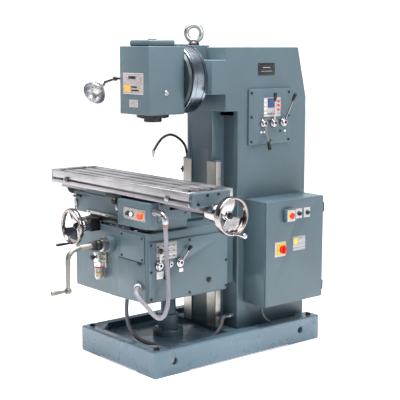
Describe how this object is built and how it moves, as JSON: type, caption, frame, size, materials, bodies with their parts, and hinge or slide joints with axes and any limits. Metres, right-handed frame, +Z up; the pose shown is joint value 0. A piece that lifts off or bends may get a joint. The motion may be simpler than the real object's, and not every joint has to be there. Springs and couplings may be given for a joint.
{
  "type": "vertical milling machine",
  "caption": "Vertical knee-type milling machine with a tilting head, a slotted table that moves on three screws, handwheels, a coolant pipe, a work lamp and a switch cabinet.",
  "frame": {"origin": "the middle of the base's footprint on the floor", "axes": "+Z up, +X towards the operator's right, -Y towards the operator"},
  "size_m": [1.6583, 1.6978, 1.9335],
  "materials": {
    "paint": "semi-gloss grey-green machine enamel over casting",
    "machined": "ground and scraped cast iron, faint feed marks",
    "steel": "turned bright steel",
    "chrome": "polished chrome plate",
    "dark_steel": "dark oiled steel",
    "aluminium": "satin aluminium",
    "black_plastic": "black moulded plastic",
    "red_plastic": "red moulded plastic",
    "yellow_plastic": "yellow moulded plastic",
    "white_plastic": "white moulded plastic",
    "rubber_black": "matt black rubber",
    "hose_grey": "grey ribbed plastic conduit",
    "clear_plastic": "clear moulded cup and sight glass",
    "label": "printed satin aluminium plate",
    "panel_grey": "light grey enamel"
  },
  "bodies": {
    "frame": {"base": "paint", "column": "paint", "rear_cover": "paint", "gearbox_plate": "paint", "eye_bolt": "dark_steel", "screw_pedestal": "paint", "main_motor": "paint", "drive_belt": "rubber_black", "cabinet": "paint", "hose_fitting": "steel", "coolant_hose": "hose_grey", "cabinet_cable": "rubber_black"},
    "rotor": {"motor_pulley": "steel"},
    "drive": {"drive_shaft": "steel"},
    "lever_low": {"speed_lever_low": "chrome"},
    "lever_high": {"speed_lever_high": "chrome"},
    "lever_range": {"speed_lever_range": "chrome"},
    "door": {"cabinet_door": "paint", "isolator_plate": "yellow_plastic", "estop_box": "paint"},
    "isolator": {"isolator_knob": "red_plastic"},
    "door_left_button": {"door_button_left": "black_plastic"},
    "door_right_button": {"door_button_right": "black_plastic"},
    "door_stop": {"door_estop": "red_plastic"},
    "head": {"swivel_ring": "steel", "head_casting": "paint", "head_cover": "paint", "bearing_cap": "dark_steel"},
    "spindle": {"spindle": "steel"},
    "lamp_arm": {"lamp_arm": "aluminium"},
    "lamp_shade": {"lamp_shade": "aluminium"},
    "knee": {"knee_casting": "paint", "knee_side_cover": "paint", "knee_front_cover": "paint", "feed_motor": "paint", "lube_pump": "steel", "coolant_pipe": "steel", "conduit_hose": "hose_grey"},
    "lift_screw": {"elevating_screw": "steel"},
    "crank": {"crank": "steel"},
    "crank_handle": {"crank_grip": "chrome"},
    "pump_plunger": {"pump_knob": "black_plastic"},
    "tap": {"tap_handle": "black_plastic"},
    "gooseneck": {"coolant_gooseneck": "black_plastic"},
    "feed_left": {"feed_lever_left": "chrome"},
    "feed_middle": {"feed_lever_middle": "chrome"},
    "feed_right": {"feed_lever_right": "chrome"},
    "cross_wheel": {"cross_handwheel": "chrome"},
    "cross_handle": {"cross_grip": "chrome"},
    "saddle": {"saddle": "paint", "control_box": "paint"},
    "stop_button": {"control_stop": "black_plastic"},
    "start_button": {"control_start": "white_plastic"},
    "panel_stop": {"control_estop": "red_plastic"},
    "engage": {"engage_lever": "black_plastic"},
    "table": {"table": "machined", "table_bracket_right": "paint", "table_bracket_left": "paint"},
    "table_wheel": {"table_handwheel": "chrome"},
    "table_handle": {"table_grip": "chrome"}
  },
  "joints": [
    {"name": "rotor_spin", "type": "hinge", "parent": "frame", "child": "rotor", "pos_m": [0, 0.39, 0.47], "axis": [0, 1, 0], "continuous": true},
    {"name": "drive_spin", "type": "hinge", "parent": "frame", "child": "drive", "pos_m": [0, 0, 1.613], "axis": [0, 1, 0], "continuous": true},
    {"name": "speed_low", "type": "hinge", "parent": "frame", "child": "lever_low", "pos_m": [0.2483, 0.255, 1.352], "axis": [1, 0, 0], "range_deg": [-20, 20]},
    {"name": "speed_high", "type": "hinge", "parent": "frame", "child": "lever_high", "pos_m": [0.2483, 0.335, 1.352], "axis": [1, 0, 0], "range_deg": [-20, 20]},
    {"name": "speed_range", "type": "hinge", "parent": "frame", "child": "lever_range", "pos_m": [0.2483, 0.415, 1.352], "axis": [1, 0, 0], "range_deg": [-20, 20]},
    {"name": "door_swing", "type": "hinge", "parent": "frame", "child": "door", "pos_m": [0.4303, 0.5938, 0.29], "axis": [0, 0, 1], "range_deg": [0, 110]},
    {"name": "isolator_turn", "type": "hinge", "parent": "door", "child": "isolator", "pos_m": [0.4303, 0.241, 0.625], "axis": [1, 0, 0], "range_deg": [0, 90]},
    {"name": "door_left_press", "type": "slide", "parent": "door", "child": "door_left_button", "axis": [-1, 0, 0], "range_m": [0, 0.004], "stiffness_N_per_m": 500, "springref_m": -0.003},
    {"name": "door_right_press", "type": "slide", "parent": "door", "child": "door_right_button", "axis": [-1, 0, 0], "range_m": [0, 0.004], "stiffness_N_per_m": 500, "springref_m": -0.003},
    {"name": "door_stop_press", "type": "slide", "parent": "door", "child": "door_stop", "axis": [-1, 0, 0], "range_m": [0, 0.004], "stiffness_N_per_m": 500, "springref_m": -0.003},
    {"name": "head_tilt", "type": "hinge", "parent": "frame", "child": "head", "pos_m": [0, -0.1255, 1.613], "axis": [0, 1, 0], "range_deg": [-45, 45]},
    {"name": "spindle_spin", "type": "hinge", "parent": "head", "child": "spindle", "pos_m": [0, -0.3675, 1.375], "axis": [0, 0, 1], "continuous": true},
    {"name": "lamp_arm_swing", "type": "hinge", "parent": "head", "child": "lamp_arm", "pos_m": [-0.1403, -0.4, 1.618], "axis": [1, 0, 0], "range_deg": [-60, 60]},
    {"name": "lamp_shade_tilt", "type": "hinge", "parent": "lamp_arm", "child": "lamp_shade", "pos_m": [-0.433, -0.408, 1.584], "axis": [1, 0, 0], "range_deg": [-30, 30]},
    {"name": "knee_slide", "type": "slide", "parent": "frame", "child": "knee", "axis": [0, 0, 1], "range_m": [-0.0782, 0.2], "deforming": ["coolant_hose"]},
    {"name": "lift_screw_spin", "type": "hinge", "parent": "knee", "child": "lift_screw", "pos_m": [0, -0.2635, 0], "axis": [0, 0, 1], "range_deg": [-36000, 14040]},
    {"name": "crank_spin", "type": "hinge", "parent": "knee", "child": "crank", "pos_m": [0, -0.8, 0.706], "axis": [0, 1, 0], "range_deg": [-14040, 36000]},
    {"name": "crank_grip_spin", "type": "hinge", "parent": "crank", "child": "crank_handle", "pos_m": [0, -0.968, 0.477], "axis": [0, 1, 0], "continuous": true},
    {"name": "pump_pull", "type": "slide", "parent": "knee", "child": "pump_plunger", "axis": [0, -1, 0], "range_m": [0, 0.015], "stiffness_N_per_m": 500, "springref_m": -0.005},
    {"name": "tap_turn", "type": "hinge", "parent": "knee", "child": "tap", "pos_m": [-0.262, 0.092, 1.049], "axis": [0, 1, 0], "range_deg": [0, 90]},
    {"name": "gooseneck_swing", "type": "hinge", "parent": "knee", "child": "gooseneck", "pos_m": [-0.262, 0.092, 1.078], "axis": [0, 0, 1], "range_deg": [-30, 0]},
    {"name": "feed_left", "type": "hinge", "parent": "knee", "child": "feed_left", "pos_m": [0.3453, -0.591, 0.628], "axis": [1, 0, 0], "range_deg": [-20, 20]},
    {"name": "feed_middle", "type": "hinge", "parent": "knee", "child": "feed_middle", "pos_m": [0.3453, -0.52, 0.628], "axis": [1, 0, 0], "range_deg": [-20, 20]},
    {"name": "feed_right", "type": "hinge", "parent": "knee", "child": "feed_right", "pos_m": [0.3453, -0.449, 0.628], "axis": [1, 0, 0], "range_deg": [-20, 20]},
    {"name": "cross_wheel_spin", "type": "hinge", "parent": "knee", "child": "cross_wheel", "pos_m": [-0.146, -0.8, 0.8], "axis": [0, 1, 0], "range_deg": [-1200, 12000]},
    {"name": "cross_grip_spin", "type": "hinge", "parent": "cross_wheel", "child": "cross_handle", "pos_m": [-0.146, -0.8385, 0.707], "axis": [0, 1, 0], "continuous": true},
    {"name": "cross_slide", "type": "slide", "parent": "knee", "child": "saddle", "axis": [0, 1, 0], "range_m": [-0.02, 0.2], "deforming": ["conduit_hose"]},
    {"name": "stop_press", "type": "slide", "parent": "saddle", "child": "stop_button", "axis": [0, 1, 0], "range_m": [0, 0.004], "stiffness_N_per_m": 500, "springref_m": -0.003},
    {"name": "start_press", "type": "slide", "parent": "saddle", "child": "start_button", "axis": [0, 1, 0], "range_m": [0, 0.004], "stiffness_N_per_m": 500, "springref_m": -0.003},
    {"name": "panel_stop_press", "type": "slide", "parent": "saddle", "child": "panel_stop", "axis": [0, 1, 0], "range_m": [0, 0.004], "stiffness_N_per_m": 500, "springref_m": -0.003},
    {"name": "engage_swing", "type": "hinge", "parent": "saddle", "child": "engage", "pos_m": [0.005, -0.606, 0.9], "axis": [0, 1, 0], "range_deg": [-20, 20]},
    {"name": "table_slide", "type": "slide", "parent": "saddle", "child": "table", "axis": [1, 0, 0], "range_m": [-0.3, 0.3]},
    {"name": "table_wheel_spin", "type": "hinge", "parent": "table", "child": "table_wheel", "pos_m": [0.8, -0.4875, 0.948], "axis": [1, 0, 0], "range_deg": [-18000, 18000]},
    {"name": "table_grip_spin", "type": "hinge", "parent": "table_wheel", "child": "table_handle", "pos_m": [0.84, -0.4875, 0.86], "axis": [1, 0, 0], "continuous": true}
  ],
  "couplings": [
    {"joint": "drive_spin", "follows": "spindle_spin", "ratio": 1},
    {"joint": "rotor_spin", "follows": "spindle_spin", "ratio": 1.5},
    {"joint": "knee_slide", "follows": "crank_spin", "m_per_rad": 0.0003183},
    {"joint": "lift_screw_spin", "follows": "crank_spin", "ratio": -1},
    {"joint": "cross_wheel_spin", "follows": "cross_slide", "rad_per_m": 1047.2},
    {"joint": "table_wheel_spin", "follows": "table_slide", "rad_per_m": 1047.2}
  ]
}
